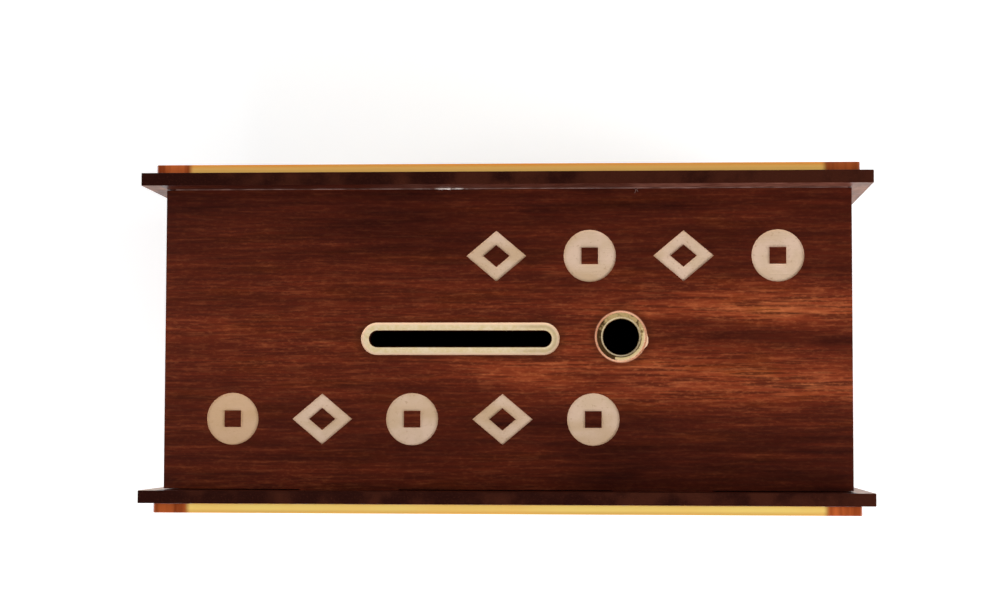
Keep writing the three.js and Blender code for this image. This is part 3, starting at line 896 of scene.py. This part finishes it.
def zinc_material():
    material, tree, shader = start_material("zinc plate")
    place_mm = place_in_mm(tree)
    tint = noise(tree, place_mm, (1.5, 1.5, 1.5), 3.0)
    tree.links.new(mix(tree, tint, colour(196, 190, 172), colour(222, 214, 186)), shader.inputs["Base Color"])
    tree.links.new(calc(tree, "MULTIPLY_ADD", tint, 0.25, 0.2), shader.inputs["Roughness"])
    shader.inputs["Metallic"].default_value = 1.0
    return material


zinc = zinc_material()
for node in sorted(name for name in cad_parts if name.startswith("rail_screw")):
    place(eased_copy(node, node.replace("rail_", ""), SCREW_EASE), "box", "screw_steel", zinc)

# ---------------------------------------------------------------------------------------------------------
# Hatch. A thinner board slides between the rails, and a bare strip glued across it is what the fingers pull.

door_look = board_material("hatch board", 2, shift=(-60, 20, 0), tone=0.5)
place(eased_copy("hatch_door", "hatch_door_board"), "hatch", "body_board", door_look)
pull_look = bare_material("hatch pull", (90, 40, 0))
place(eased_copy("hatch_pull", "hatch_pull_strip"), "hatch", "bare_board", pull_look)


# ---------------------------------------------------------------------------------------------------------
# Studio. A pale floor and pale surroundings, two large soft lights from the sides and one from the front.
# The camera looks straight down from a little to the right of the box's middle, towards its front edge.

FLOOR_SIZE = 8.0


def make_floor():
    """A square floor that glows a little. It is clear from below, so that the base can be seen."""
    mesh = bpy.data.meshes.new("floor")
    half = FLOOR_SIZE / 2
    corners = [(-half, -half, 0), (half, -half, 0), (half, half, 0), (-half, half, 0)]
    mesh.from_pydata(corners, [], [(0, 1, 2, 3)])
    floor = bpy.data.objects.new("floor", mesh)
    bpy.context.scene.collection.objects.link(floor)
    material, tree, shader = start_material("pale floor")
    shader.inputs["Base Color"].default_value = (0.86, 0.86, 0.86, 1)
    shader.inputs["Roughness"].default_value = 0.9
    shader.inputs["Specular IOR Level"].default_value = 0.0
    shader.inputs["Emission Color"].default_value = (1, 1, 1, 1)
    shader.inputs["Emission Strength"].default_value = 0.5
    below = add_node(tree, "ShaderNodeNewGeometry").outputs["Backfacing"]
    nothing = add_node(tree, "ShaderNodeBsdfTransparent").outputs[0]
    surface = add_node(tree, "ShaderNodeMixShader", {0: below, 1: shader.outputs[0], 2: nothing})
    tree.links.new(surface.outputs[0], tree.nodes["Material Output"].inputs["Surface"])
    mesh.materials.append(material)
    floor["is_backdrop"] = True


def soft_light(name, spot, size, power):
    """A square area light that faces the middle of the box."""
    data = bpy.data.lights.new(name, "AREA")
    data.size = size
    data.energy = power
    lamp = bpy.data.objects.new(name, data)
    lamp.location = spot
    bpy.context.scene.collection.objects.link(lamp)
    aim = (cad_low + cad_high) / 2 - lamp.location
    lamp.rotation_euler = aim.to_track_quat("-Z", "Y").to_euler()


make_floor()
soft_light("right light", (1.1, -0.3, 0.9), 0.9, 13)
soft_light("left light", (-1.1, 0.1, 0.9), 0.9, 8)
soft_light("front light", (0.2, -1.2, 0.8), 0.9, 8)

# The surroundings are pale round the sides and dark overhead, so that satin surfaces seen from above stay
# deep in colour.
world = bpy.data.worlds.new("surroundings")
world.use_nodes = True
sky = world.node_tree
direction = add_node(sky, "ShaderNodeTexCoord").outputs["Generated"]
overhead = rise(sky, split(sky, direction)[2], 0.3, 0.65)
wall = mix(sky, overhead, (1, 1, 1, 1), (0.02, 0.02, 0.02, 1))
sky.links.new(wall, sky.nodes["Background"].inputs["Color"])
sky.nodes["Background"].inputs["Strength"].default_value = 0.85
bpy.context.scene.world = world
bpy.context.scene.view_settings.view_transform = "Standard"

LENS = 77.08
CAMERA_PLACE = (0.0356, -0.0238, 0.7294)
CAMERA_TURN = (3.395, 3.600, 0.143)

camera_data = bpy.data.cameras.new("camera")
camera_data.sensor_width = 36.0
camera_data.lens = LENS
camera_data.clip_start = 0.01
camera = bpy.data.objects.new("camera", camera_data)
camera.location = CAMERA_PLACE
camera.rotation_euler = [math.radians(angle) for angle in CAMERA_TURN]
bpy.context.scene.collection.objects.link(camera)
bpy.context.scene.camera = camera

low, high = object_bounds()
